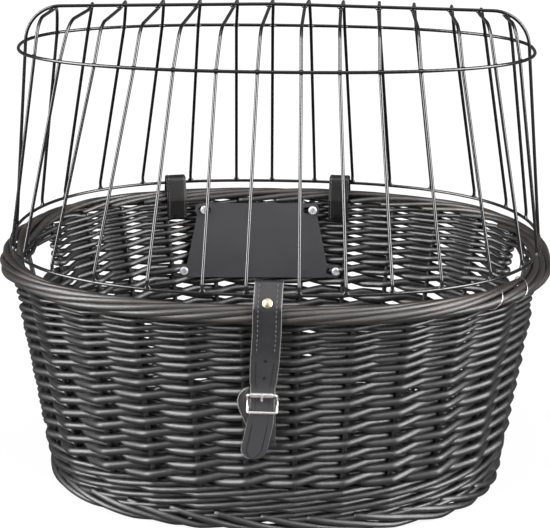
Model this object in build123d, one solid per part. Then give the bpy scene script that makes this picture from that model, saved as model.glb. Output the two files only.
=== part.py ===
from build123d import *
from math import acos, asin, cos, hypot, pi, sin, sqrt, tan
import os

os.makedirs("parts", exist_ok=True)

# ---- named sizes, millimetres ----

# plan shape: every hoop of the basket and of the grille is the same kind of rounded oval
OVAL_POWER = 2.4
OVAL_POINTS = 28
OVAL_START = 0.0125

# clearances
TOUCH = 0.05
WELD_GAP = 0.05
SOFT_GAP = 0.3
RUN_GAP = 0.1

# wicker tub: half width and half depth of each level
RIM_HALF_W, RIM_HALF_D = 243.0, 168.0
WALL_SPREAD = 2.0
RIM_ROLL_W, RIM_ROLL_H = 20.0, 15.0
WALL_TOP_HALF_W, WALL_TOP_HALF_D = RIM_HALF_W + WALL_SPREAD, RIM_HALF_D + WALL_SPREAD
WALL_LOW_HALF_W, WALL_LOW_HALF_D = 220.0, 155.0
FOOT_OUT_HALF_W, FOOT_OUT_HALF_D = 216.0, 151.0
FOOT_ROLL_W, FOOT_ROLL_H = 18.0, 14.0
FOOT_FLAT = 0.5
WALE_TOP_Z = 30.0
WALE_T = 12.0
WALL_T = 6.0
WALL_TOP_Z = 208.1
BASE_T = 6.0
BASE_Z = 4.0
STAKE_D = 5.0
STAKE_COUNT = 28
STAKE_SHARE = 0.2
BASE_STICK_D = 6.0
BASE_STICK_SHARES = (-0.75, -0.45, -0.15, 0.15, 0.45, 0.75)

# finger holes under the rim at both ends
HAND_HOLE_W = 130.0
HAND_HOLE_H = 36.0
HAND_HOLE_R = 12.0

# wire grille
WIRE_D = 3.0
RING_INSET_W, RING_INSET_D = 1.0, 2.0
RING_HALF_W, RING_HALF_D = RIM_HALF_W - RING_INSET_W, RIM_HALF_D - RING_INSET_D
RING_LIFT = 7.5
SHOULDER_HALF_W, SHOULDER_HALF_D = 228.6, 102.0
SHOULDER_RISE = 173.0
RIDGE_RISE = 211.5
RIDGE_END_RISE = 207.0
RIDGE_CORNER_INSET = 21.0
RIDGE_CORNER_X = RING_HALF_W - RIDGE_CORNER_INSET
RIDGE_BEND = 34.0
RIDGE_CROWN_BEND = 1000.0
ARCH_BEND = 20.0
ARCH_FRONT_CORNER_RISE = 205.0
ARCH_BACK_CORNER_RISE = 201.0
ARCH_CORNER_DEPTH_SHARE = 0.83
ARCH_RING_SHARES = (-0.955, -0.885, -0.76, -0.595, -0.4, -0.207, -0.056,
                    0.125, 0.285, 0.442, 0.612, 0.785, 0.905, 0.972)
ARCH_SHOULDER_SHARES = (-0.9, -0.787, -0.647, -0.494, -0.346, -0.188, -0.037,
                        0.122, 0.262, 0.407, 0.556, 0.709, 0.831, 0.93)
ARCH_RIDGE_SHARES = (-0.905, -0.745, -0.624, -0.47, -0.317, -0.167, -0.023,
                     0.118, 0.262, 0.412, 0.548, 0.697, 0.81, 0.92)

# leather
LEATHER_T = 2.0
LOOP_W = 20.0
LOOP_X_SHARES = (-112 / 243, 56 / 243)
LOOP_XS = [share * RIM_HALF_W for share in LOOP_X_SHARES]
LOOP_TOP_SHARE = 0.28
LOOP_INNER_SHARES = ((-0.495, -1.343), (-0.495, 0.0))
LOOP_OUTER_SHARES = ((0.675, 0.2), (0.675, -0.34), (0.25, -0.78), (0.215, -1.343))
LOOP_TOP_CLEAR = 4.6
LOOP_RIVET_Z = 199.9
SMALL_RIVET_D = 3.0
SMALL_RIVET_HEAD_D = 6.0
SMALL_RIVET_HEAD_H = 1.2

# closure strap on the front of the ring
STRAP_W = 22.0
STRAP_TIP_Z = 82.0
STRAP_HOLE_R = 1.7
STRAP_HOLE_PITCH = 14.9
CLOSURE_RIVET_D = 3.0
CLOSURE_RIVET_HEAD_D = 8.5
CLOSURE_RIVET_HEAD_H = 1.6

# buckle
BUCKLE_Z = 138.0
BUCKLE_HALF_H = 8.0
BAR_D = 2.4
BUCKLE_BEND = 1.6
ROLLER_D = 4.2
PRONG_D = 1.8
PRONG_EYE_T = 1.2
PRONG_W = 3.0
CHAPE_T = 1.8
CHAPE_W = 21.6
CHAPE_LOW_Z = 92.0
CHAPE_RETURN_Z = 98.0
CHAPE_RIVET_Z = 106.0
CHAPE_SLOT_W = 4.6
CHAPE_SLOT_H = 12.0

# clamp plate inside, adapter plate outside, four screws
PLATE_X_SHARE = -29 / 243
PLATE_X = PLATE_X_SHARE * RIM_HALF_W
PLATE_Z = 172.0
PLATE_H = 78.0
PLATE_TOP_W = 118.0
PLATE_LOW_W = 150.0
PLATE_T = 3.0
PLATE_STANDOFF = 19.0
PLATE_YAW = 3.6
PLATE_CORNER_R = 5.0
SLOT_TOP_PITCH = 107.4
SLOT_LOW_PITCH = 156.2
SLOT_ROWS = 64.6
SLOT_L = 13.2
SLOT_H = 6.6
EAR_MARGIN = 3.2
SCREW_TOP_PITCH = 110.4
SCREW_TOP_SHIFT = 1.6
SCREW_LOW_PITCH = 156.8
SCREW_LOW_SHIFT = 3.1
SCREW_D = 4.0
SCREW_HEAD_D = 8.6
SCREW_HEAD_H = 2.6
SCREW_HOLE_D = 4.4
NUT_AF = 7.0
NUT_H = 3.2
NUT_TAIL = 1.5
WASHER_D = 9.0
WASHER_T = 1.0
ADAPTER_T = 5.0
ADAPTER_DEEP = 14.0
ADAPTER_MARGIN = 3.0
ADAPTER_BLOCK_W = 60.0
ADAPTER_BLOCK_H = 62.0
ADAPTER_BLOCK_D = 15.0
ADAPTER_LIP_H = 8.0
ADAPTER_LIP_D = 5.0
ADAPTER_SLOT_W = 22.0
ADAPTER_SLOT_D = 6.0

# strap course over the ring and the front of the rim, in shares of the rim's width
STRAP_RETURN_SHARES = (-0.52, 0.4675)
STRAP_FRONT_SHARES = (-0.66, 0.5175)
STRAP_LAP_SHARE = 0.43
STRAP_RIVET_SHARE = 0.575
STRAP_TIP_GAP = 6.5

# thin wire tie round the rim at the right front
TIE_D = 1.2
TIE_X_SHARE = 212 / 243
TIE_X = TIE_X_SHARE * RIM_HALF_W

# ---- values worked out from the named sizes ----

RIM_Z = WALL_TOP_Z + TOUCH + RIM_ROLL_H / 2
RIM_TOP_Z = RIM_Z + RIM_ROLL_H / 2
RING_Z = RIM_TOP_Z + RING_LIFT + WIRE_D / 2
WIRE_R = WIRE_D / 2
SHOULDER_Z = RING_Z + SHOULDER_RISE
FOOT_HALF_W = FOOT_OUT_HALF_W - FOOT_ROLL_W / 2
FOOT_HALF_D = FOOT_OUT_HALF_D - FOOT_ROLL_W / 2
FOOT_Z = FOOT_ROLL_H / 2 - FOOT_FLAT
FOOT_TOP_Z = FOOT_Z + FOOT_ROLL_H / 2
WALL_LOW_Z = WALE_TOP_Z + TOUCH


def oval_point(half_w, half_d, turn):
    angle = 2 * pi * turn
    c, s = cos(angle), sin(angle)
    x = half_w * abs(c) ** (2 / OVAL_POWER)
    y = half_d * abs(s) ** (2 / OVAL_POWER)
    return (x if c >= 0 else -x), (y if s >= 0 else -y)


def oval_depth(half_w, half_d, x):
    return half_d * (1 - abs(x / half_w) ** OVAL_POWER) ** (1 / OVAL_POWER)


def oval_slope(half_w, half_d, x):
    step = half_w / 1000
    return (oval_depth(half_w, half_d, x + step) - oval_depth(half_w, half_d, x - step)) / (2 * step)


def oval_wire(half_w, half_d, z):
    turns = [OVAL_START + k / OVAL_POINTS for k in range(OVAL_POINTS)]
    points = [(*oval_point(half_w, half_d, turn), z) for turn in turns]
    return Wire([Spline(*points, periodic=True)])


def oval_solid(low, low_z, high, high_z):
    faces = [Face(oval_wire(*low, low_z)), Face(oval_wire(*high, high_z))]
    return loft(faces, ruled=True)


def oval_shell(low, low_z, high, high_z, thickness):
    inner_low = [size - thickness for size in low]
    inner_high = [size - thickness for size in high]
    return oval_solid(low, low_z, high, high_z) - oval_solid(inner_low, low_z, inner_high, high_z)


def oval_spots(half_w, half_d, z, count, share):
    path = oval_wire(half_w, half_d, z)
    lengths = [(k + share) / count * path.length for k in range(count)]
    return [path.position_at(length, PositionMode.LENGTH) for length in lengths]


def oval_roll(half_w, half_d, z, section):
    path = oval_wire(half_w, half_d, z)
    start = Plane(origin=path @ 0, x_dir=(0, 0, 1), z_dir=path % 0)
    return sweep(start * section, path=path)


def bent_path(points, bends, closed=False):
    corners = [Vector(*point) for point in points]
    count = len(corners)
    order = range(count) if closed else range(1, count - 1)
    cuts = {}
    for k in order:
        before, here, after = corners[k - 1], corners[k], corners[(k + 1) % count]
        into, out = (here - before).normalized(), (after - here).normalized()
        half = acos(max(-1, min(1, into.dot(out)))) / 2
        reach = bends[k] * tan(half)
        side = (out - into).normalized()
        middle = here + side * (bends[k] / cos(half) - bends[k])
        cuts[k] = (here - into * reach, middle, here + out * reach)
    edges = []
    for k in range(count if closed else count - 1):
        nxt = (k + 1) % count
        start = cuts[k][2] if k in cuts else corners[k]
        end = cuts[nxt][0] if nxt in cuts else corners[nxt]
        edges.append(Line(start, end))
        if nxt in cuts:
            edges.append(ThreePointArc(*cuts[nxt]))
    return Wire(edges)


def rod(points, bends, diameter, closed=False):
    path = bent_path(points, bends, closed)
    start = Plane(origin=path @ 0, z_dir=path % 0)
    return sweep(start * Circle(diameter / 2), path=path)


def ribbon(points, bends, width, thickness):
    path = bent_path(points, bends)
    start = Plane(origin=path @ 0, x_dir=(1, 0, 0), z_dir=path % 0)
    return sweep(start * Rectangle(width, thickness), path=path)


def cylinder_between(start, end, diameter):
    a, b = Vector(start), Vector(end)
    plane = Plane(origin=a, z_dir=(b - a).normalized())
    return extrude(plane * Circle(diameter / 2), (b - a).length)


def wall_half(z):
    share = (z - WALL_LOW_Z) / (WALL_TOP_Z - WALL_LOW_Z)
    half_w = WALL_LOW_HALF_W + (WALL_TOP_HALF_W - WALL_LOW_HALF_W) * share
    half_d = WALL_LOW_HALF_D + (WALL_TOP_HALF_D - WALL_LOW_HALF_D) * share
    return half_w, half_d


# ---- wicker tub ----

def rim_border():
    return oval_roll(RIM_HALF_W, RIM_HALF_D, RIM_Z, Ellipse(RIM_ROLL_H / 2, RIM_ROLL_W / 2))


def foot_border():
    roll = oval_roll(FOOT_HALF_W, FOOT_HALF_D, FOOT_Z, Ellipse(FOOT_ROLL_H / 2, FOOT_ROLL_W / 2))
    below = Pos(0, 0, -FOOT_ROLL_H / 2) * Box(3 * FOOT_HALF_W, 3 * FOOT_HALF_D, FOOT_ROLL_H)
    return roll - below


def wale_band():
    low = (FOOT_OUT_HALF_W, FOOT_OUT_HALF_D)
    high = (WALL_LOW_HALF_W, WALL_LOW_HALF_D)
    return oval_shell(low, FOOT_TOP_Z + TOUCH, high, WALE_TOP_Z, WALE_T)


def tie_path(extra):
    half_w, half_h = RIM_ROLL_W / 2 + extra, RIM_ROLL_H / 2 + extra
    at = Vector(TIE_X, -oval_depth(RIM_HALF_W, RIM_HALF_D, TIE_X), RIM_Z)
    along = Vector(1, -oval_slope(RIM_HALF_W, RIM_HALF_D, TIE_X), 0).normalized()
    return Plane(origin=at, x_dir=(0, 0, 1), z_dir=along) * Wire([Edge.make_ellipse(half_h, half_w)])


def rim_tie(diameter=TIE_D):
    path = tie_path(TIE_D / 2 + SOFT_GAP)
    start = Plane(origin=path @ 0, z_dir=path % 0)
    return sweep(start * Circle(diameter / 2), path=path)


def wall_weave():
    low = (WALL_LOW_HALF_W, WALL_LOW_HALF_D)
    high = (WALL_TOP_HALF_W, WALL_TOP_HALF_D)
    wall = oval_shell(low, WALL_LOW_Z, high, WALL_TOP_Z, WALL_T)
    hole = Plane.YZ * RectangleRounded(HAND_HOLE_W, 2 * HAND_HOLE_H, HAND_HOLE_R)
    holes = Pos(0, 0, WALL_TOP_Z) * extrude(hole, 2 * WALL_TOP_HALF_W, both=True)
    wall -= holes
    wall -= rim_tie(TIE_D + 2 * SOFT_GAP)
    for x in LOOP_XS:
        wall -= loop_rivet_shank(x, SMALL_RIVET_D + 2 * TOUCH)
    for x, up in screw_spots():
        wall -= plate_frame() * Pos(x, up, 0) * Cylinder(SCREW_D / 2 + TOUCH, 8 * WALL_T)
    wall -= chape_rivet_shank(SMALL_RIVET_D + 2 * TOUCH)
    return wall


def stakes():
    inset = WALL_T + STAKE_D / 2 + TOUCH
    ends = []
    for z in (WALL_LOW_Z + STAKE_D / 8, WALL_TOP_Z - STAKE_D / 8):
        half_w, half_d = wall_half(z)
        ends.append(oval_spots(half_w - inset, half_d - inset, z, STAKE_COUNT, STAKE_SHARE))
    return Compound(children=[cylinder_between(low, high, STAKE_D) for low, high in zip(*ends)])


def base_panel():
    inner_w = FOOT_HALF_W - FOOT_ROLL_W / 2 - TOUCH
    inner_d = FOOT_HALF_D - FOOT_ROLL_W / 2 - TOUCH
    return extrude(Face(oval_wire(inner_w, inner_d, BASE_Z)), BASE_T)


def base_sticks():
    inner_w = FOOT_HALF_W - FOOT_ROLL_W / 2 - BASE_STICK_D
    inner_d = FOOT_HALF_D - FOOT_ROLL_W / 2 - BASE_STICK_D
    z = BASE_Z + BASE_T + BASE_STICK_D / 2 + TOUCH
    rods = []
    for share in BASE_STICK_SHARES:
        x = share * inner_w
        y = oval_depth(inner_w, inner_d, x)
        rods.append(cylinder_between((x, -y, z), (x, y, z), BASE_STICK_D))
    return Compound(children=rods)


# ---- wire grille ----

def ridge_corner():
    lean = (RING_HALF_W - RIDGE_CORNER_X) / RIDGE_END_RISE
    slope = (RIDGE_RISE - RIDGE_END_RISE) / RIDGE_CORNER_X
    leg = Vector(lean, 0, 1).normalized()
    top = Vector(1, 0, slope).normalized()
    half = acos(leg.dot(top)) / 2
    corner = Vector(-RIDGE_CORNER_X, 0, RING_Z + RIDGE_END_RISE)
    centre = corner + (top - leg).normalized() * (RIDGE_BEND / cos(half))
    return corner, centre, RIDGE_BEND * tan(half), slope


def under_ridge(x):
    drop = WIRE_D + WELD_GAP
    corner, centre, reach, slope = ridge_corner()
    crown_reach = RIDGE_CROWN_BEND * tan(slope)
    if abs(x) < crown_reach:
        top = RING_Z + RIDGE_RISE - RIDGE_CROWN_BEND * (sqrt(1 + slope * slope) - 1)
        sag = top - RIDGE_CROWN_BEND + sqrt(RIDGE_CROWN_BEND ** 2 - x * x)
        return x, sag - drop
    if abs(x) < RIDGE_CORNER_X - reach:
        return x, RING_Z + RIDGE_RISE - slope * abs(x) - drop * sqrt(1 + slope * slope)
    side = 1 if x > 0 else -1
    turn = asin((abs(x) + centre.X) / RIDGE_BEND)
    inside = RIDGE_BEND - drop
    return side * (inside * sin(turn) - centre.X), centre.Z + inside * cos(turn)


def ridge_wire():
    corner = ridge_corner()[0]
    foot_z = RING_Z + WIRE_R + WELD_GAP + WIRE_R / 8
    foot_x = RING_HALF_W - (RING_HALF_W - RIDGE_CORNER_X) * (foot_z - RING_Z) / RIDGE_END_RISE
    points = [(-foot_x, 0, foot_z), (corner.X, 0, corner.Z), (0, 0, RING_Z + RIDGE_RISE),
              (-corner.X, 0, corner.Z), (foot_x, 0, foot_z)]
    return rod(points, (0, RIDGE_BEND, RIDGE_CROWN_BEND, RIDGE_BEND, 0), WIRE_D)


def hoop(half_w, half_d, z):
    return oval_roll(half_w, half_d, z, Circle(WIRE_R))


def shoulder_inset():
    run = RING_HALF_D - SHOULDER_HALF_D
    return (WIRE_D + WELD_GAP) * hypot(run, SHOULDER_RISE) / SHOULDER_RISE


def arch(number):
    inset = shoulder_inset()
    ring_x = ARCH_RING_SHARES[number] * RING_HALF_W
    ring_y = oval_depth(RING_HALF_W, RING_HALF_D, ring_x)
    shoulder_x = ARCH_SHOULDER_SHARES[number] * SHOULDER_HALF_W
    shoulder_y = oval_depth(SHOULDER_HALF_W - inset, SHOULDER_HALF_D - inset, shoulder_x)
    top_x, top_z = under_ridge(ARCH_RIDGE_SHARES[number] * RIDGE_CORNER_X)
    corner_x = (shoulder_x + top_x) / 2
    corner_y = shoulder_y * ARCH_CORNER_DEPTH_SHARE
    foot_z = RING_Z + WIRE_R + WELD_GAP
    knee_z = foot_z + 2 * WIRE_D
    front_z = RING_Z + ARCH_FRONT_CORNER_RISE
    back_z = RING_Z + ARCH_BACK_CORNER_RISE
    low = min(0, top_z - front_z)
    points = [(ring_x, -ring_y, foot_z), (ring_x, -ring_y, knee_z), (shoulder_x, -shoulder_y, SHOULDER_Z),
              (corner_x, -corner_y, front_z + low), (top_x, 0, top_z),
              (corner_x, corner_y, back_z + low), (shoulder_x, shoulder_y, SHOULDER_Z),
              (ring_x, ring_y, knee_z), (ring_x, ring_y, foot_z)]
    bend = min(ARCH_BEND, corner_y / 2)
    knee = 2 * WIRE_D
    return rod(points, (0, knee, ARCH_BEND, bend, ARCH_BEND, bend, ARCH_BEND, knee, 0), WIRE_D)


# ---- leather loops that hinge the grille on the rim ----

def loop_frame(x):
    slope = oval_slope(RING_HALF_W, RING_HALF_D, x)
    at = (x, oval_depth(RING_HALF_W, RING_HALF_D, x), 0)
    return Plane(origin=at, x_dir=(1, slope, 0), z_dir=(0, 0, 1))


def loop_points():
    top = RING_Z + LOOP_TOP_CLEAR + LEATHER_T / 2
    shares = LOOP_INNER_SHARES + ((-LOOP_TOP_SHARE, None), (LOOP_TOP_SHARE, None)) + LOOP_OUTER_SHARES
    points = []
    for y_share, z_share in shares:
        z = top if z_share is None else RIM_Z + z_share * RIM_ROLL_H
        points.append((0, y_share * RIM_ROLL_W, z))
    return points


def hinge_loop(x):
    points = loop_points()
    strap = loop_frame(x) * ribbon(points, [LEATHER_T] * len(points), LOOP_W, LEATHER_T)
    return strap - loop_rivet_shank(x, SMALL_RIVET_D + 2 * TOUCH)


def loop_rivet_shank(x, diameter):
    reach = RIM_ROLL_W
    return loop_frame(x) * cylinder_between((0, -reach, LOOP_RIVET_Z), (0, reach, LOOP_RIVET_Z), diameter)


def loop_face(side):
    points = loop_points()
    end, above = (points[0], points[1]) if side < 0 else (points[-1], points[-2])
    slope = (above[1] - end[1]) / (above[2] - end[2])
    lean = abs(slope) * SMALL_RIVET_HEAD_D / 2
    return end[1] + slope * (LOOP_RIVET_Z - end[2]) + side * (LEATHER_T / 2 + SOFT_GAP + lean)


def riveted(inner, outer, z):
    head = SMALL_RIVET_HEAD_H
    rivet = cylinder_between((0, inner - head / 2, z), (0, outer + head / 2, z), SMALL_RIVET_D)
    rivet += cylinder_between((0, inner - head, z), (0, inner, z), SMALL_RIVET_HEAD_D)
    return rivet + cylinder_between((0, outer, z), (0, outer + head, z), SMALL_RIVET_HEAD_D)


def hinge_rivets():
    rivet = riveted(loop_face(-1), loop_face(1), LOOP_RIVET_Z)
    return Compound(children=[loop_frame(x) * rivet for x in LOOP_XS])


# ---- closure strap ----

def strap_depth():
    return bar_depth() + BAR_D / 2 + 2 * SOFT_GAP + CHAPE_T + LEATHER_T / 2


def bar_depth():
    return wall_half(BUCKLE_Z)[1] + 2 * SOFT_GAP + CHAPE_T + BAR_D / 2


def end_bar_depth():
    return strap_depth() + LEATHER_T / 2 + SOFT_GAP + ROLLER_D / 2


def by_rim(shares):
    return 0, -RIM_HALF_D + shares[0] * RIM_ROLL_W, RIM_Z + shares[1] * RIM_ROLL_W


def strap_course():
    around = WIRE_R + SOFT_GAP + LEATHER_T / 2
    low_z, high_z = RING_Z - around, RING_Z + around
    back_y = -RING_HALF_D + around
    reach = BUCKLE_HALF_H + ROLLER_D
    points = [by_rim(STRAP_RETURN_SHARES), (0, -RING_HALF_D - 2 * around, low_z), (0, back_y, low_z),
              (0, back_y, high_z), (0, -RING_HALF_D - around * STRAP_LAP_SHARE, high_z),
              by_rim(STRAP_FRONT_SHARES), (0, -strap_depth(), BUCKLE_Z + reach),
              (0, -strap_depth(), BUCKLE_Z - reach),
              (0, -wall_half(STRAP_TIP_Z)[1] - STRAP_TIP_GAP, STRAP_TIP_Z)]
    turn = around - TOUCH
    bends = (0, around, turn, turn, around, 2 * around, 8 * LEATHER_T, 8 * LEATHER_T, 0)
    return points, bends


def strap_rivet_frame():
    start, end = (Vector(point) for point in strap_course()[0][4:6])
    along = (end - start).normalized()
    return Plane(origin=start + (end - start) * STRAP_RIVET_SHARE, x_dir=(1, 0, 0), z_dir=(0, along.Z, -along.Y))


def prong_course():
    out_y = -end_bar_depth() - ROLLER_D / 2 - TOUCH - PRONG_D / 2
    elbow_z = BUCKLE_Z + BUCKLE_HALF_H - ROLLER_D / 2 - PRONG_D
    return [(0, -bar_depth() - 3 * BAR_D / 4, BUCKLE_Z + BAR_D / 3), (0, out_y, elbow_z),
            (0, out_y, BUCKLE_Z + BUCKLE_HALF_H + ROLLER_D / 2)]


def prong_hole_z():
    start, elbow = prong_course()[:2]
    share = (-strap_depth() - start[1]) / (elbow[1] - start[1])
    return start[2] + (elbow[2] - start[2]) * share


def closure_strap():
    strap = ribbon(*strap_course(), STRAP_W, LEATHER_T)
    strap -= strap_rivet_frame() * Cylinder(CLOSURE_RIVET_D / 2 + TOUCH, RIM_ROLL_W / 2)
    depth = strap_depth()
    for k in range(3):
        z = prong_hole_z() + k * STRAP_HOLE_PITCH
        strap -= cylinder_between((0, -depth - RIM_ROLL_W / 2, z), (0, -depth + RIM_ROLL_W / 4, z), 2 * STRAP_HOLE_R)
    tail = Pos(0, -depth, STRAP_TIP_Z) * Plane.XZ * extrude(tail_waste(), RIM_ROLL_W, both=True)
    return strap - tail


def tail_waste():
    half = STRAP_W / 2
    kept = Pos(0, half) * Circle(half) + Pos(0, STRAP_W) * Rectangle(STRAP_W, STRAP_W)
    return Rectangle(2 * STRAP_W, STRAP_W) - kept


def closure_rivet():
    frame = strap_rivet_frame()
    back = LEATHER_T / 2 + LEATHER_T + SOFT_GAP
    front = LEATHER_T / 2 + TOUCH
    shank = cylinder_between((0, 0, -back), (0, 0, front + CLOSURE_RIVET_HEAD_H / 2), CLOSURE_RIVET_D)
    head = cylinder_between((0, 0, front), (0, 0, front + CLOSURE_RIVET_HEAD_H), CLOSURE_RIVET_HEAD_D)
    head = chamfer(head.edges().group_by(Axis.Z)[-1], CLOSURE_RIVET_HEAD_H / 2)
    return frame * (shank + head)


# ---- buckle ----

def buckle_frame():
    half = STRAP_W / 2 + SOFT_GAP + BAR_D / 2
    front, back = -end_bar_depth(), -bar_depth()
    top, low = BUCKLE_Z + BUCKLE_HALF_H, BUCKLE_Z - BUCKLE_HALF_H
    points = [(-half, front, top), (half, front, top), (half, back, BUCKLE_Z),
              (half, front, low), (-half, front, low), (-half, back, BUCKLE_Z)]
    loop = rod(points, [BUCKLE_BEND] * len(points), BAR_D, closed=True)
    return loop + cylinder_between((-half, back, BUCKLE_Z), (half, back, BUCKLE_Z), BAR_D)


def buckle_roller():
    half = STRAP_W / 2 - BUCKLE_BEND
    start, end = ((x, -end_bar_depth(), BUCKLE_Z + BUCKLE_HALF_H) for x in (-half, half))
    return cylinder_between(start, end, ROLLER_D) - cylinder_between(start, end, BAR_D + 2 * RUN_GAP)


def buckle_prong():
    start, end = ((x, -bar_depth(), BUCKLE_Z) for x in (-PRONG_W / 2, PRONG_W / 2))
    bore_d = BAR_D + 2 * RUN_GAP
    prong = cylinder_between(start, end, bore_d + 2 * PRONG_EYE_T) + rod(prong_course(), (0, PRONG_D, 0), PRONG_D)
    return prong - cylinder_between(start, end, bore_d)


def chape_course():
    y, around = -bar_depth(), BAR_D / 2 + SOFT_GAP + CHAPE_T / 2
    back = SOFT_GAP + CHAPE_T / 2
    front = back + CHAPE_T + SOFT_GAP
    low = -wall_half(CHAPE_LOW_Z)[1]
    mouth_z = BUCKLE_Z - 3 * around
    mouth = -wall_half(mouth_z)[1]
    ret = -wall_half(CHAPE_RETURN_Z)[1]
    points = [(0, low - back, CHAPE_LOW_Z), (0, mouth - back, mouth_z), (0, y + around, BUCKLE_Z - around),
              (0, y + around, BUCKLE_Z + around), (0, y - around, BUCKLE_Z + around),
              (0, y - around, BUCKLE_Z - around), (0, mouth - front, mouth_z), (0, ret - front, CHAPE_RETURN_Z)]
    turn = around - TOUCH
    return points, (0, CHAPE_T, CHAPE_T, turn, turn, CHAPE_T, CHAPE_T, 0)


def buckle_chape():
    chape = ribbon(*chape_course(), CHAPE_W, CHAPE_T)
    chape -= Pos(0, -bar_depth(), BUCKLE_Z) * Box(CHAPE_SLOT_W, 4 * BAR_D, CHAPE_SLOT_H)
    return chape - chape_rivet_shank(SMALL_RIVET_D + 2 * TOUCH)


def chape_rivet_shank(diameter):
    half_d = wall_half(CHAPE_RIVET_Z)[1]
    start, end = ((0, -half_d - side * RIM_ROLL_W / 2, CHAPE_RIVET_Z) for side in (1, -1))
    return cylinder_between(start, end, diameter)


def chape_rivet():
    half_d = wall_half(CHAPE_RIVET_Z)[1]
    lean = wall_lean() * SMALL_RIVET_HEAD_D / 2
    front = -half_d - 2 * CHAPE_T - 3 * SOFT_GAP - lean
    return riveted(front, -half_d + WALL_T + SOFT_GAP + lean, CHAPE_RIVET_Z)


# ---- plates that clamp the back wall ----

def wall_lean():
    return (WALL_TOP_HALF_D - WALL_LOW_HALF_D) / (WALL_TOP_Z - WALL_LOW_Z)


def plate_frame():
    at = (PLATE_X, oval_depth(*wall_half(PLATE_Z), PLATE_X), PLATE_Z)
    level = Plane(origin=at, x_dir=(-1, 0, 0), z_dir=Vector(0, 1, -wall_lean()).normalized())
    return Plane(level.location * Rot(0, PLATE_YAW, 0))


def rows(pitches, shifts):
    spots = []
    for up, pitch, shift in zip((SLOT_ROWS / 2, -SLOT_ROWS / 2), pitches, shifts):
        spots += [(-shift - pitch / 2, up), (-shift + pitch / 2, up)]
    return spots


def slot_spots():
    return rows((SLOT_TOP_PITCH, SLOT_LOW_PITCH), (0, 0))


def screw_spots():
    return rows((SCREW_TOP_PITCH, SCREW_LOW_PITCH), (SCREW_TOP_SHIFT, SCREW_LOW_SHIFT))


def trapezoid(height):
    corners = [(-PLATE_LOW_W / 2, -height / 2), (PLATE_LOW_W / 2, -height / 2),
               (PLATE_TOP_W / 2, height / 2), (-PLATE_TOP_W / 2, height / 2)]
    outline = make_face(Polyline(*corners, close=True))
    return fillet(outline.vertices(), PLATE_CORNER_R)


def outer_solid(margin):
    low, high = ([size + margin for size in wall_half(z)] for z in (WALL_LOW_Z, RIM_Z))
    return oval_solid(low, WALL_LOW_Z, high, RIM_Z)


def clamp_plate():
    outline = trapezoid(PLATE_H)
    for x, up in slot_spots():
        outline += Pos(x, up) * SlotOverall(SLOT_L + 2 * EAR_MARGIN, SLOT_H + 2 * EAR_MARGIN)
    for x, up in slot_spots():
        outline -= Pos(x, up) * SlotOverall(SLOT_L, SLOT_H)
    return plate_frame() * Pos(0, 0, -PLATE_STANDOFF - PLATE_T) * extrude(outline, PLATE_T)


def adapter_plate():
    corners = [(Pos(x, up) * Circle(ADAPTER_MARGIN)).edge() for x, up in screw_spots()]
    outline = make_hull(corners)
    body = Pos(0, 0, -ADAPTER_DEEP) * extrude(outline, ADAPTER_DEEP + ADAPTER_T)
    base = Pos(0, 0, ADAPTER_T)
    body += base * extrude(Rectangle(ADAPTER_BLOCK_W, ADAPTER_BLOCK_H), ADAPTER_BLOCK_D)
    lip_up = (ADAPTER_BLOCK_H - ADAPTER_LIP_H) / 2
    body += base * Pos(0, lip_up) * extrude(Rectangle(ADAPTER_BLOCK_W, ADAPTER_LIP_H), ADAPTER_BLOCK_D + ADAPTER_LIP_D)
    slot = extrude(Rectangle(ADAPTER_SLOT_W, ADAPTER_BLOCK_H), ADAPTER_BLOCK_D)
    body -= base * Pos(0, -ADAPTER_LIP_H, ADAPTER_BLOCK_D - ADAPTER_SLOT_D) * slot
    for x, up in screw_spots():
        body -= Pos(x, up) * Cylinder(SCREW_HOLE_D / 2, 8 * ADAPTER_DEEP)
    return plate_frame() * body - outer_solid(TOUCH)


def plate_screws():
    seat = -PLATE_STANDOFF - PLATE_T - TOUCH
    end = ADAPTER_T + NUT_H + WASHER_T + NUT_TAIL
    shank = cylinder_between((0, 0, seat - SCREW_HEAD_H / 2), (0, 0, end), SCREW_D)
    head = cylinder_between((0, 0, seat - SCREW_HEAD_H), (0, 0, seat), SCREW_HEAD_D)
    head = fillet(head.edges().group_by(Axis.Z)[0], SCREW_HEAD_H / 2)
    for turn in (0, 90):
        cross = Box(SCREW_HEAD_D / 2, SCREW_HEAD_D / 9, SCREW_HEAD_H)
        head -= Pos(0, 0, seat - SCREW_HEAD_H) * Rot(0, 0, turn) * cross
    return at_screws(shank + head)


def at_screws(shape):
    return Compound(children=[plate_frame() * Pos(x, up, 0) * shape for x, up in screw_spots()])


def plate_washers():
    ring = extrude(Circle(WASHER_D / 2) - Circle(SCREW_HOLE_D / 2), WASHER_T)
    return at_screws(Pos(0, 0, ADAPTER_T + TOUCH) * ring)


def plate_nuts():
    nut = RegularPolygon(NUT_AF / 2, 6, major_radius=False) - Circle(SCREW_D / 2 + TOUCH)
    return at_screws(Pos(0, 0, ADAPTER_T + WASHER_T + 2 * TOUCH) * extrude(nut, NUT_H))


# ---- all the pieces in one frame, base at height 0 and centred ----

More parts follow.
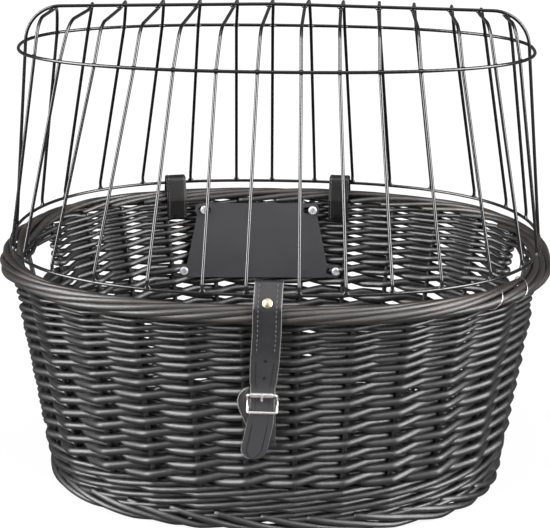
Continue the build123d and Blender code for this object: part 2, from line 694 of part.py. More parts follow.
def all_nodes():
    nodes = {
        "rim_border": rim_border(),
        "wall_weave": wall_weave(),
        "wale_band": wale_band(),
        "foot_border": foot_border(),
        "base_panel": base_panel(),
        "base_sticks": base_sticks(),
        "wall_stakes": stakes(),
        "hinge_loop_left": hinge_loop(LOOP_XS[0]),
        "hinge_loop_right": hinge_loop(LOOP_XS[1]),
        "hinge_rivets": hinge_rivets(),
        "rim_tie": rim_tie(),
        "clamp_plate": clamp_plate(),
        "adapter_plate": adapter_plate(),
        "plate_screws": plate_screws(),
        "plate_washers": plate_washers(),
        "plate_nuts": plate_nuts(),
        "buckle_chape": buckle_chape(),
        "chape_rivet": chape_rivet(),
        "buckle_frame": buckle_frame(),
        "buckle_roller": buckle_roller(),
        "buckle_prong": buckle_prong(),
        "closure_strap": closure_strap(),
        "closure_rivet": closure_rivet(),
        "grille_ring": hoop(RING_HALF_W, RING_HALF_D, RING_Z),
        "grille_shoulder": hoop(SHOULDER_HALF_W, SHOULDER_HALF_D, SHOULDER_Z),
        "grille_ridge": ridge_wire(),
    }
    for number in range(len(ARCH_RING_SHARES)):
        nodes[f"grille_arch_{number + 1:02d}"] = arch(number)
    return nodes


def centred(nodes):
    boxes = [shape.bounding_box() for shape in nodes.values()]
    x = (min(box.min.X for box in boxes) + max(box.max.X for box in boxes)) / 2
    y = (min(box.min.Y for box in boxes) + max(box.max.Y for box in boxes)) / 2
    return {name: Pos(-x, -y, 0) * shape for name, shape in nodes.items()}


if __name__ == "__main__":
    for name, shape in centred(all_nodes()).items():
        export_step(shape, f"parts/{name}.step")
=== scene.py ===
import math
import random
from functools import lru_cache

import bpy
import numpy as np
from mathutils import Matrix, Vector


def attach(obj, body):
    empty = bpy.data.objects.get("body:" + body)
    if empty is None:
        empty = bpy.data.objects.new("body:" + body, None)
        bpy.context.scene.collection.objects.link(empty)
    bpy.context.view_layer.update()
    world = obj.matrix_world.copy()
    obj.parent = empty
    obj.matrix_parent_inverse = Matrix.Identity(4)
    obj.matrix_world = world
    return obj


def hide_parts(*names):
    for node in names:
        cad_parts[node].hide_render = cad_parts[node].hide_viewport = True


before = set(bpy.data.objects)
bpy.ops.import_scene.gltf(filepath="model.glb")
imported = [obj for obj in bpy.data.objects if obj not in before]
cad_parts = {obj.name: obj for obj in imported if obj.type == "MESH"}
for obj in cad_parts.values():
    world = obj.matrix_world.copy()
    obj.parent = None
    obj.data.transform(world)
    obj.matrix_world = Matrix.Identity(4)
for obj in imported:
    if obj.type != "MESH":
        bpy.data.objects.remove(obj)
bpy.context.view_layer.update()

rng = random.Random(41)

# Sizes of the part's source, in millimetres, and its shift to the row frame.
MM = 0.001
SHIFT = np.array([0.2207, -7.0172, 0.0])
OVAL_POWER = 2.4
OVAL_START = 0.0125
OVAL_POINTS = 4097
RIM_HALF = (243.0, 168.0)
RIM_Z = 215.65
RING_HALF = (242.0, 166.0)
RING_Z = 232.15
SHOULDER_HALF = (228.6, 102.0)
SHOULDER_Z = 405.15
WIRE_R = 1.5
WALL_LOW_Z, WALL_TOP_Z = 30.05, 208.1
WALL_LOW_HALF = (220.0, 155.0)
WALL_TOP_HALF = (245.0, 170.0)
FOOT_TOP_Z = 13.5
FOOT_OUT_HALF = (216.0, 151.0)
FOOT_HALF = (207.0, 142.0)
FOOT_Z = 10.0
STAKES = 28
STAKE_SHARE = 0.2
STAKE_R = 2.3
STAKE_GAP = 0.3

# The two stakes at the back left corner stand a little further back than an even spacing.
STAKE_MOVED = {11: -8.0, 12: -10.0}

# The room outside the stakes for the woven rods, at two heights.
ROD_ROOM_Z, ROD_ROOM = (130.0, 200.0), (7.1, 3.9)

# Rows of the pairing weave: their heights, the heights between which the finger holes stop them, the stakes
# between which they run there, and a rod's thickness as a share of the rows' pitch, at two heights.
ROW_Z = (52.6, 66.2, 79.3, 92.0, 104.9, 117.7, 130.7, 143.2,
         154.1, 164.0, 173.2, 181.6, 188.9, 195.7, 202.3, 208.6)
HOLE_LOW_Z, HOLE_TOP_Z = 170.0, 200.0
HOLE_SPANS = ((1, 12), (15, 26))
ROD_SHARES_Z, ROD_SHARES = (130, 175), (0.57, 0.655)
SEAT = 0.1

# What is uneven in work by hand: the number of waves of each wander, its reach and its first seed.
ROW_WANDER, ROW_RIPPLE, ROD_GIRTH = (6, 1.5, 500), (16, 0.8, 900), (9, 0.09, 1300)
WALE_WANDER, WALE_GIRTH = (5, 0.7, 60), (20, 0.08, 61)
STAKE_WANDER = (3, 0.5, 2100)
ROLL_WANDER, ROLL_GIRTH = (3, 0.13, 3000), (3, 0.06, 3300)
BASE_WANDER = (3, 0.5, 4000)
ROD_PLAY, ROD_PLAY_SEED = 0.07, 77

# A rod's cut end: the length and the size of its worn edge, as shares of the radius.
END_LENGTH_SHARE, END_SIZE_SHARE = 0.22, 0.8


# Curves on the ovals

@lru_cache(maxsize=None)
def oval_table(half_w, half_d):
    """An oval's run as shares, its points, its whole length, and the share where stake 0's space starts."""
    angle = np.linspace(0, 2 * np.pi, OVAL_POINTS)
    c, s = np.cos(angle), np.sin(angle)
    x = half_w * np.sign(c) * np.abs(c) ** (2 / OVAL_POWER)
    y = half_d * np.sign(s) * np.abs(s) ** (2 / OVAL_POWER)
    run = np.concatenate(([0], np.cumsum(np.hypot(np.diff(x), np.diff(y)))))
    start = np.interp(OVAL_START * 2 * np.pi, angle, run) / run[-1]
    return run / run[-1], x, y, run[-1], start


def on_oval(half, share):
    """Points on an oval at shares of its length from +x, turning to +y, and the outward directions there."""
    run, x, y = oval_table(*half)[:3]
    share = np.asarray(share, float)
    step = 0.002

    def at(spot):
        return np.interp(spot % 1.0, run, x), np.interp(spot % 1.0, run, y)

    px, py = at(share)
    ax, ay = at(share + step)
    bx, by = at(share - step)
    tx, ty = ax - bx, ay - by
    size = np.hypot(tx, ty)
    return px, py, ty / size, -tx / size


def oval_depth(half, x):
    """How far an oval's edge is from its long axis at x."""
    return half[1] * max(0.0, 1 - abs(x / half[0]) ** OVAL_POWER) ** (1 / OVAL_POWER)


def oval_way(half, x, side=1):
    """The direction along an oval at x, towards +x, at its back or, with side -1, at its front."""
    step = half[0] / 1000
    slope = side * (oval_depth(half, x + step) - oval_depth(half, x - step)) / (2 * step)
    return np.array([1.0, slope, 0.0]) / math.hypot(1, slope)


def shares_of(half, s):
    """Where the stake number s, also between two stakes, stands on an oval."""
    length, start = oval_table(*half)[3:]
    marks = np.arange(-STAKES, 4 * STAKES)
    spots = start + (marks + STAKE_SHARE) / STAKES
    moved = np.array([STAKE_MOVED.get(int(k) % STAKES, 0.0) for k in marks])
    return np.interp(s, marks, spots + moved / length)


def wall_half(z, inset=0.0):
    """Half width and half depth of the wall's outer face at a height, less an inset."""
    if z < WALL_LOW_Z:
        share = (z - FOOT_TOP_Z) / (WALL_LOW_Z - FOOT_TOP_Z)
        low, high = FOOT_OUT_HALF, WALL_LOW_HALF
    else:
        share = (z - WALL_LOW_Z) / (WALL_TOP_Z - WALL_LOW_Z)
        low, high = WALL_LOW_HALF, WALL_TOP_HALF
    return tuple(a + (b - a) * share - inset for a, b in zip(low, high))


def stake_inset(z):
    """How far a stake's middle is inside the wall's outer face."""
    return STAKE_R + STAKE_GAP + float(np.interp(z, ROD_ROOM_Z, ROD_ROOM))


def stake_point(z, s):
    """Where the stake number s stands at a height, and the outward direction there."""
    half = wall_half(z, stake_inset(z))
    return on_oval(half, shares_of(half, s))


def waves(kind, number):
    """A smooth, seeded, periodic wander along 0 to 1."""
    count, reach, first_seed = kind
    dice = random.Random(first_seed + number)
    parts = [(k, dice.uniform(0, 2 * math.pi), dice.uniform(0.4, 1.0) / math.sqrt(k))
             for k in range(1, count + 1)]
    total = sum(size for _, _, size in parts)

    def at(share):
        share = np.asarray(share, float)
        return reach * sum(size * np.sin(2 * np.pi * k * share + turn) for k, turn, size in parts) / total
    return at


# Paths and meshes

def unit(vector):
    return vector / np.linalg.norm(vector)


def directions(points, closed=False):
    """Unit directions along a path."""
    along = np.roll(points, -1, 0) - np.roll(points, 1, 0) if closed else np.gradient(points, axis=0)
    return along / np.linalg.norm(along, axis=1)[:, None]


def run_of(points):
    """Running length along a path."""
    return np.concatenate(([0], np.cumsum(np.linalg.norm(np.diff(points, axis=0), axis=1))))


def carried_sides(points):
    """Side directions carried along a path without twist."""
    along = directions(points)
    side = Vector(tuple(along[0])).orthogonal().normalized()
    sides = [np.array(side)]
    for k in range(1, len(points)):
        turn = Vector(tuple(along[k - 1])).rotation_difference(Vector(tuple(along[k])))
        side = turn @ side
        sides.append(np.array(side))
    return np.array(sides)


def rounded(points, bends, step=2.5, arc_parts=6):
    """A path through corner points, each rounded by its bend radius, with extra points on the runs."""
    points = [np.array(p, float) for p in points]
    path = [points[0]]

    def run_to(end):
        start = path[-1]
        parts = int(np.linalg.norm(end - start) / step) + 1
        path.extend([start + (end - start) * (k / parts) for k in range(1, parts)] + [end])

    for before, here, after, bend in zip(points, points[1:], points[2:], bends[1:]):
        into, out = unit(here - before), unit(after - here)
        half = math.acos(max(-1.0, min(1.0, float(into @ out)))) / 2
        if half < 1e-4 or bend <= 0:
            run_to(here)
            continue
        reach = bend * math.tan(half)
        start, end = here - into * reach, here + out * reach
        middle = here + unit(out - into) * (bend / math.cos(half))
        run_to(start)
        turn = 2 * half
        for j in range(1, arc_parts + 1):
            t = j / arc_parts
            spot = (start - middle) * math.sin((1 - t) * turn) + (end - middle) * math.sin(t * turn)
            path.append(middle + spot / math.sin(turn))
    run_to(points[-1])
    return np.array(path)


def tube_faces(rings, sides, closed=False):
    """Quads between rings of points, and a cap at each open end."""
    faces = []
    for i in range(rings if closed else rings - 1):
        a, b = i * sides, ((i + 1) % rings) * sides
        faces += [(a + j, a + (j + 1) % sides, b + (j + 1) % sides, b + j) for j in range(sides)]
    if not closed:
        faces += [tuple(range(sides - 1, -1, -1)), tuple(range((rings - 1) * sides, rings * sides))]
    return faces


def new_object(name, data):
    obj = bpy.data.objects.new(name, data)
    bpy.context.scene.collection.objects.link(obj)
    return obj


class Build:
    """Collects swept shapes into one mesh. Each shape has a random tone and a grain that follows it."""

    def __init__(self):
        self.verts, self.faces, self.grain, self.tone = [], [], [], []
        self.count = 0

    def add(self, rings, faces, grain):
        """Adds a shape. Its grain says where each point is across and along it."""
        rings = np.asarray(rings, float).reshape(-1, 3)
        self.verts.append(rings)
        self.faces.extend([tuple(self.count + k for k in face) for face in faces])
        self.grain.append(np.asarray(grain, float).reshape(-1, 3))
        self.tone.append(np.full(len(rings), rng.random()))
        self.count += len(rings)

    def sweep(self, points, side, sections, closed=False):
        """Sweeps a ring of 2-D points, or a ring for each point, along points. side is its first axis."""
        points = np.asarray(points, float)
        sections = np.asarray(sections, float)
        if sections.ndim == 2:
            sections = np.repeat(sections[None], len(points), axis=0)
        along = directions(points, closed)
        side = side - along * np.sum(side * along, axis=1)[:, None]
        side /= np.linalg.norm(side, axis=1)[:, None]
        up = np.cross(along, side)
        rings = points[:, None] + side[:, None] * sections[..., :1] + up[:, None] * sections[..., 1:]
        run = np.repeat(run_of(points)[:, None, None], sections.shape[1], axis=1)
        grain = np.concatenate((sections, run), axis=2)
        self.add(rings, tube_faces(*rings.shape[:2], closed), grain)

    def tube(self, points, radii, closed=False, sides=10, up=None):
        """A round rod. Its ends are cut square with a small worn edge."""
        points = np.asarray(points, float)
        radii = np.broadcast_to(np.asarray(radii, float), (len(points),)).copy()
        if not closed:
            first = points[0] + unit(points[1] - points[0]) * radii[0] * END_LENGTH_SHARE
            last = points[-1] - unit(points[-1] - points[-2]) * radii[-1] * END_LENGTH_SHARE
            points = np.concatenate(([points[0], first], points[1:-1], [last, points[-1]]))
            radii = np.concatenate(([radii[0] * END_SIZE_SHARE], radii, [radii[-1] * END_SIZE_SHARE]))
        if up is None:
            side = carried_sides(points)
        else:
            side = np.cross(np.broadcast_to(up, points.shape), directions(points, closed))
        turn = np.linspace(0, 2 * np.pi, sides, endpoint=False)
        circle = np.stack((np.cos(turn), np.sin(turn)), axis=1)
        self.sweep(points, side, circle[None] * radii[:, None, None], closed)

    def lathe(self, origin, axis, profile, sides):
        """Turns a profile of (radius, height) pairs about an axis."""
        axis = Vector(axis).normalized()
        side = axis.orthogonal().normalized()
        up = axis.cross(side)
        rings = []
        for radius, height in profile:
            for t in np.linspace(0, 2 * np.pi, sides, endpoint=False):
                spoke = side * math.cos(t) + up * math.sin(t)
                rings.append(tuple(Vector(origin) + spoke * radius + axis * height))
        self.add(rings, tube_faces(len(profile), sides), rings)

    def finish(self, name, material, body, replaces=()):
        """Makes the mesh, and says which body it rides on, what it replaces and whose finish it takes."""
        verts = (np.concatenate(self.verts) + SHIFT) * MM
        mesh = bpy.data.meshes.new(name)
        mesh.from_pydata([tuple(v) for v in verts], [], self.faces)
        grain = mesh.attributes.new("grain", "FLOAT_VECTOR", "POINT")
        grain.data.foreach_set("vector", (np.concatenate(self.grain) * MM).astype(np.float32).ravel())
        tone = mesh.attributes.new("tone", "FLOAT", "POINT")
        tone.data.foreach_set("value", np.concatenate(self.tone).astype(np.float32))
        mesh.shade_smooth()
        mesh.validate()
        mesh.materials.append(material)
        obj = new_object(name, mesh)
        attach(obj, body)
        if replaces:
            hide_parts(*replaces)


# Shader nodes

def shader(name):
    mat = bpy.data.materials.new(name)
    mat.use_nodes = True
    tree = mat.node_tree
    return mat, tree, tree.nodes["Principled BSDF"]


def node(tree, kind, **values):
    """A new node. Each value goes to the input of that name, or else to the node's own setting."""
    made = tree.nodes.new(kind)
    for key, value in values.items():
        if key in made.inputs:
            made.inputs[key].default_value = value
        else:
            setattr(made, key, value)
    return made


def link(tree, out, into):
    tree.links.new(out, into)


def ramp(tree, source, stops):
    made = node(tree, "ShaderNodeValToRGB")
    while len(made.color_ramp.elements) < len(stops):
        made.color_ramp.elements.new(0.5)
    for element, (place, colour) in zip(made.color_ramp.elements, stops):
        element.position = place
        element.color = (*colour, 1.0)
    link(tree, source, made.inputs["Fac"])
    return made.outputs["Color"]


def mixed(tree, fac, a, b, blend="MIX"):
    """A mix of two colours. Each of fac, a and b is a node's output or a value."""
    made = node(tree, "ShaderNodeMix", data_type="RGBA", blend_type=blend)
    for value, socket in ((fac, made.inputs[0]), (a, made.inputs[6]), (b, made.inputs[7])):
        if hasattr(value, "is_output"):
            link(tree, value, socket)
        else:
            socket.default_value = value if isinstance(value, float) else (*value, 1.0)
    return made.outputs[2]


def noise(tree, vector, scale, detail=4.0, rough=0.55):
    made = node(tree, "ShaderNodeTexNoise", Scale=scale, Detail=detail, Roughness=rough)
    link(tree, vector, made.inputs["Vector"])
    return made.outputs["Fac"]


def ranged(tree, source, low, high, span=(0.0, 1.0)):
    """Maps a source from its span to the range from low to high."""
    made = node(tree, "ShaderNodeMapRange")
    made.inputs["From Min"].default_value, made.inputs["From Max"].default_value = span
    made.inputs["To Min"].default_value, made.inputs["To Max"].default_value = low, high
    link(tree, source, made.inputs["Value"])
    return made.outputs["Result"]


def bump(tree, bsdf, height, strength, distance):
    made = node(tree, "ShaderNodeBump", Strength=strength, Distance=distance)
    link(tree, height, made.inputs["Height"])
    link(tree, made.outputs["Normal"], bsdf.inputs["Normal"])


def scaled(tree, vector, scale, offset=None):
    made = node(tree, "ShaderNodeMapping", Scale=scale)
    link(tree, vector, made.inputs["Vector"])
    if offset is not None:
        link(tree, offset, made.inputs["Location"])
    return made.outputs["Vector"]


def times(tree, value, factor):
    made = node(tree, "ShaderNodeMath", operation="MULTIPLY")
    link(tree, value, made.inputs[0])
    made.inputs[1].default_value = factor
    return made.outputs[0]


def placed(tree):
    """The spot on the piece, in its own metres."""
    return node(tree, "ShaderNodeTexCoord").outputs["Object"]


def coated(bsdf, weight, rough):
    bsdf.inputs["Coat Weight"].default_value = weight
    bsdf.inputs["Coat Roughness"].default_value = rough


# Materials. A rod's tone also moves its noise, by up to this many units.
TONE_SPREAD = 37.0


def willow(name, dark, light, brown, brown_share):
    """Stained willow: streaks run along each rod, every rod has its own tone, worn places show brown."""
    mat, tree, bsdf = shader(name)
    grain = node(tree, "ShaderNodeAttribute", attribute_name="grain").outputs["Vector"]
    tone = node(tree, "ShaderNodeAttribute", attribute_name="tone").outputs["Fac"]
    place = times(tree, tone, TONE_SPREAD)
    streak = noise(tree, scaled(tree, grain, (1400, 1400, 45), place), 1.0, 5.0, 0.6)
    patch = noise(tree, scaled(tree, grain, (60, 60, 16), place), 1.0, 3.0, 0.5)
    knots = noise(tree, scaled(tree, grain, (160, 160, 90), place), 1.0, 2.0, 0.4)
    base = mixed(tree, ranged(tree, streak, 0.0, 1.0), dark, light)
    toned = mixed(tree, tone, (0.75, 0.75, 0.76), (1.3, 1.28, 1.26))
    base = mixed(tree, 1.0, base, toned, "MULTIPLY")
    worn = ramp(tree, patch, [(brown_share, (0, 0, 0)), (brown_share + 0.16, (1, 1, 1))])
    link(tree, mixed(tree, worn, base, brown), bsdf.inputs["Base Color"])
    link(tree, ranged(tree, patch, 0.36, 0.54), bsdf.inputs["Roughness"])
    bump(tree, bsdf, mixed(tree, 0.45, streak, knots), 0.6, 0.0009)
    bsdf.inputs["Specular IOR Level"].default_value = 1.0
    coated(bsdf, 0.2, 0.25)
    return mat


def leather(name, dark, light, worn=None, blend_span=(0.12, 0.21)):
    """Smooth leather with a fine grain, lighter towards the bottom when a third colour is given: it takes
    that colour below the span's heights and blends into its own colour between them.
    """
    mat, tree, bsdf = shader(name)
    spot = placed(tree)
    cells = node(tree, "ShaderNodeTexVoronoi", Scale=1300.0, feature="F1")
    link(tree, spot, cells.inputs["Vector"])
    soft = noise(tree, spot, 60.0)
    fine = noise(tree, spot, 900.0, 3.0)
    base = mixed(tree, soft, dark, light)
    if worn:
        axes = node(tree, "ShaderNodeSeparateXYZ")
        link(tree, spot, axes.inputs[0])
        height = ranged(tree, axes.outputs["Z"], 0.0, 1.0, blend_span)
        base = mixed(tree, height, mixed(tree, soft, tuple(c * 0.8 for c in worn), worn), base)
    link(tree, base, bsdf.inputs["Base Color"])
    link(tree, ranged(tree, soft, 0.3, 0.5), bsdf.inputs["Roughness"])
    bump(tree, bsdf, mixed(tree, 0.5, cells.outputs["Distance"], fine), 0.25, 0.0004)
    bsdf.inputs["Specular IOR Level"].default_value = 0.5
    coated(bsdf, 0.15, 0.35)
    return mat


def metal(name, base, rough, streaks, metallic=1.0):
    """Metal with a little wear and fine streaks, which run along the axis of their lowest scale."""
    mat, tree, bsdf = shader(name)
    spot = placed(tree)
    wear = noise(tree, spot, 220.0)
    fine = noise(tree, scaled(tree, spot, streaks), 1.0, 3.0)
    link(tree, mixed(tree, wear, tuple(c * 0.7 for c in base), base), bsdf.inputs["Base Color"])
    link(tree, ranged(tree, wear, rough * 0.7, rough * 1.35), bsdf.inputs["Roughness"])
    bump(tree, bsdf, fine, 0.12, 0.0002)
    bsdf.inputs["Metallic"].default_value = metallic
    return mat


def paint(name, dark, light, rough, grain_scale, strength, coat=0.0):
    """An even surface with cloudy tone and a fine grain: paint, thread, a pale cut leather edge with a
    painted highlight on it, or the near-black painted shade of a hole or a groove.
    """
    mat, tree, bsdf = shader(name)
    spot = placed(tree)
    cloud = noise(tree, spot, 40.0)
    fine = noise(tree, spot, grain_scale, 3.0)
    link(tree, mixed(tree, cloud, dark, light), bsdf.inputs["Base Color"])
    link(tree, ranged(tree, cloud, rough * 0.85, rough * 1.2), bsdf.inputs["Roughness"])
    bump(tree, bsdf, fine, strength, 0.0003)
    coated(bsdf, coat, 0.1)
    return mat


WILLOW = willow("willow_stained", (0.0025, 0.0023, 0.0026), (0.009, 0.0083, 0.0085),
                (0.02, 0.013, 0.009), 0.66)
RIM_WILLOW = willow("willow_rim", (0.006, 0.0053, 0.005), (0.024, 0.0205, 0.0188),
                    (0.052, 0.034, 0.024), 0.55)
# The strap and the chape are lighter towards the bottom: the third colour shows below 0.12 m and blends into
# the leather's own colour up to 0.21 m.
LEATHER = leather("leather_black", (0.0095, 0.0092, 0.0104), (0.027, 0.0262, 0.0288),
                  (0.044, 0.0425, 0.0455))
LOOP_LEATHER = leather("leather_loops", (0.0035, 0.0033, 0.0036), (0.0095, 0.009, 0.0098))
STITCH = paint("thread_grey", (0.036, 0.036, 0.039), (0.074, 0.072, 0.077), 0.5, 3000.0, 0.4)
# Edge lines of the strap and the chape: the cut edge's paler leather, made lighter still as a painted
# highlight.
RAW_EDGE_AND_HIGHLIGHT = paint("leather_edge_and_highlight", (0.13, 0.124, 0.116), (0.28, 0.266, 0.245), 0.6, 2500.0, 0.4)
# Near-black discs painted as the shade inside the strap's punched holes.
HOLE_SHADE = paint("hole_painted_shade", (0.0006, 0.0006, 0.0006), (0.0012, 0.0012, 0.0012), 0.95, 900.0, 0.2)
# Near-black lines painted as the shade inside the strap's creased grooves.
GROOVE_SHADE = paint("groove_painted_shade", (0.002, 0.002, 0.002), (0.006, 0.006, 0.006), 0.7, 3000.0, 0.4)
WIRE = paint("wire_black", (0.0012, 0.0012, 0.0014), (0.003, 0.003, 0.0033), 0.27, 500.0, 0.08, 1.0)
PLATE = paint("plate_coat", (0.034, 0.033, 0.0362), (0.0475, 0.0462, 0.0507), 0.5, 1600.0, 0.3)
BRACKET = paint("bracket_coat", (0.012, 0.012, 0.013), (0.022, 0.022, 0.024), 0.45, 1200.0, 0.35)
NICKEL = metal("nickel", (0.86, 0.84, 0.8), 0.24, (300, 40, 300), metallic=0.78)
BRASS = metal("brass", (0.78, 0.64, 0.4), 0.36, (400, 400, 60))
ZINC = metal("zinc", (0.86, 0.87, 0.88), 0.38, (500, 80, 500), metallic=0.55)
TIE = metal("tie_wire", (0.75, 0.74, 0.72), 0.3, (200, 200, 200))
RIVET = metal("rivet_dark", (0.16, 0.155, 0.15), 0.3, (300, 300, 300))

# Woven wall. A rod's points stand closer together at a stake and half way to the next one, where it turns.
SPACING = np.array([0, 0.03, 0.07, 0.13, 0.25, 0.4, 0.47, 0.53, 0.6, 0.75, 0.87, 0.93, 0.97])
CROSSING_LIFT_SHARE = 0.46
TURN_POINTS = 7


def peaked(distance, ease=0.035):
    """1 at a stake, 0 half way to the next one, nearly straight between."""
    full = math.sqrt(0.25 + ease * ease) - ease
    return 1 - (np.sqrt(distance ** 2 + ease * ease) - ease) / full


def in_out(s):
    """1 outside even stakes, -1 inside odd ones."""
    nearest = np.round(s)
    sign = np.where(nearest.astype(int) % 2 == 0, 1.0, -1.0)
    return sign * peaked(np.abs(s - nearest))


def up_down(s):
    """1 and -1 by turns, half way between stakes."""
    return in_out(s - 0.5)


def stations(first, last):
    """Where a rod's points are, counted in stakes."""
    return (np.arange(first, last)[:, None] + SPACING[None]).ravel()


class Row:
    """One row of pairing: two rods that twist round each other, with a stake between them at every turn."""

    def __init__(self, number, z, pitch):
        self.z = z
        self.d = pitch * float(np.interp(z, ROD_SHARES_Z, ROD_SHARES))
        self.wander = waves(ROW_WANDER, number // 2)
        self.ripple = waves(ROW_RIPPLE, number)
        self.girth = [waves(ROD_GIRTH, 2 * number + side) for side in (0, 1)]
        self.fat = [1 + random.Random(ROD_PLAY_SEED + 5 * number + side).uniform(-ROD_PLAY, ROD_PLAY)
                    for side in (0, 1)]

    def height(self, share):
        return self.z + self.wander(share) + self.ripple(share)

    def points(self, s, side):
        """The way of one of the two rods, and its radii."""
        sign = 1 if side == 0 else -1
        x, y, nx, ny = stake_point(self.z, s)
        d = self.d * self.fat[side]
        out = sign * in_out(s) * (STAKE_R + d / 2 + SEAT)
        share = s / STAKES
        z = self.height(share) + sign * up_down(s) * d * CROSSING_LIFT_SHARE
        return np.stack((x + nx * out, y + ny * out, z), axis=1), d / 2 * (1 + self.girth[side](share))

    def turn_back(self, stake, towards):
        """A rod's way round the stake beside a finger hole, from outside to inside, and its radii."""
        x, y, nx, ny = stake_point(self.z, float(stake))
        tx, ty = -ny * towards, nx * towards
        radius = STAKE_R + self.d / 2 + SEAT
        angle = np.pi * np.arange(1, TURN_POINTS + 1) / (TURN_POINTS + 1)
        out, along = radius * np.cos(angle), radius * np.sin(angle)
        z = np.full(TURN_POINTS, float(self.height(stake / STAKES)))
        spots = np.stack((x + nx * out + tx * along, y + ny * out + ty * along, z), axis=1)
        return spots, np.full(TURN_POINTS, self.d / 2)

    def weave(self, build):
        """Adds the row's rods: two all the way round, or one there and back between the finger holes."""
        if not HOLE_LOW_Z < self.z < HOLE_TOP_Z:
            for side in (0, 1):
                build.tube(*self.points(stations(0, STAKES), side), closed=True, up=(0, 0, 1))
            return
        for first, last in HOLE_SPANS:
            s = np.append(stations(first, last), last)
            back, back_radii = self.points(s, 1)
            stretches = (self.points(s, 0), self.turn_back(last, 1), (back[::-1], back_radii[::-1]),
                         self.turn_back(first, -1))
            points, radii = (np.concatenate(part) for part in zip(*stretches))
            build.tube(points, radii, closed=True, up=(0, 0, 1))


def pitches(heights):
    """The mean distance of each row to its neighbours."""
    gaps = [b - a for a, b in zip(heights, heights[1:])]
    gaps = [gaps[0]] + gaps + [gaps[-1]]
    return [(a + b) / 2 for a, b in zip(gaps, gaps[1:])]


wall = Build()
for number, (z, pitch) in enumerate(zip(ROW_Z, pitches(ROW_Z))):
    Row(number, z, pitch).weave(wall)
wall.finish("wall_rods", WILLOW, "basket", ["wall_weave"])

# Wale: three rods, each outside two stakes and inside the third, thicker than the wall's rods. A row is
# its height, its rods' thickness and its number. The marks count stakes, and the lifts are shares of the
# thickness.
WALE_ROWS = ((27.4, 5.6, 0), (39.0, 5.6, 7), (15.5, 5.0, 28))
WALE_MARKS = (-0.5, 0.5, 1.5, 2.5, 3.5)
WALE_OUT = (-1, 1, 1, -1, 1)
WALE_BULGE, WALE_SOFTENING = 0.12, (0.2, 0.6, 0.2)
WALE_LIFT_MARKS = (0, 0.5, 1.5, 2, 2.5, 3)
WALE_LIFT_SHARES = (-0.6, -0.5, 0.5, 0.6, 0, -0.6)


def wale_row(build, z, d, number):
    """Adds a row's three rods, as one rod that goes round three times."""
    s = stations(0, 3 * STAKES)
    phase = (s + 0.5) % 3.0
    swing = np.interp(phase, WALE_MARKS, WALE_OUT) + WALE_BULGE * np.clip(1 - np.abs(phase - 1) * 2, 0, 1)
    swing = np.convolve(np.concatenate((swing[-1:], swing, swing[:1])), WALE_SOFTENING, "valid")
    out = swing * (STAKE_R + d / 2 + SEAT)
    lift = np.interp(phase, WALE_LIFT_MARKS, WALE_LIFT_SHARES) * d
    height = z + lift + waves(WALE_WANDER, number)(s / STAKES)
    radius = d / 2 * (1 + waves(WALE_GIRTH, number)(s / (3 * STAKES)))
    x, y, nx, ny = stake_point(z, s % STAKES)
    build.tube(np.stack((x + nx * out, y + ny * out, height), axis=1), radius, closed=True, up=(0, 0, 1))


wale = Build()
for row in WALE_ROWS:
    wale_row(wale, *row)
wale.finish("wale_rods", WILLOW, "basket", ["wale_band"])

# Upright stakes, from the foot border up into the rim
STAKE_ENDS_Z = (12.0, 212.0)
STAKE_WANDER_SPAN = 400
STAKE_TAPER_SHARES = (1.06, 0.94)

uprights = Build()
for k in range(STAKES):
    wander = waves(STAKE_WANDER, k)
    spots = []
    for z in np.linspace(*STAKE_ENDS_Z, 26):
        x, y, nx, ny = stake_point(min(z, WALL_TOP_Z), float(k))
        push = float(wander(z / STAKE_WANDER_SPAN))
        spots.append((x - ny * push, y + nx * push, z))
    uprights.tube(spots, STAKE_R * np.linspace(*STAKE_TAPER_SHARES, len(spots)))
uprights.finish("stake_rods", WILLOW, "basket", ["wall_stakes"])

# Rolled borders. For each: the half width and half height that its rods wind round, the angles in degrees
# between which they wind, a rod's thickness and the stake spaces that it passes, both with their play, and
# where it starts. The rim's rods come up beside their stakes.
RIM_SECTION, RIM_TURN = (7.4, 4.9), (-62, 205)
RIM_ROD_D, RIM_ROD_PLAY = 5.8, (-0.9, 0.8)
RIM_SPACES, RIM_SPACES_PLAY, RIM_START = 4.9, (-0.3, 0.4), 0.35
RIM_LEAD_START, RIM_LEAD_Z, RIM_LEAD_OUT = -0.05, (205.0, 208.5), 1.5
FOOT_SECTION, FOOT_TURN = (6.4, 8.0), (55, -215)
FOOT_ROD_D, FOOT_ROD_PLAY = 6.2, (-0.5, 0.5)
FOOT_SPACES, FOOT_SPACES_PLAY, FOOT_START = 4.3, (-0.3, 0.3), 0.3
FOOT_FIRST_NUMBER = 100
ROLL_POINTS, ELLIPSE_POINTS = 9, 1441
ROLL_EASE, ROLL_HEIGHT_MOST = 0.045, 1.02
ROLL_TAPER_SHARES = (1.1, 0.82)


def ellipse_table(half_w, half_h):
    """Angles round an ellipse, and its running length there from angle 0."""
    angle = np.linspace(-2 * np.pi, 2 * np.pi, ELLIPSE_POINTS)
    x, z = half_w * np.cos(angle), half_h * np.sin(angle)
    run = np.concatenate(([0], np.cumsum(np.hypot(np.diff(x), np.diff(z)))))
    return angle, run - np.interp(0, angle, run)


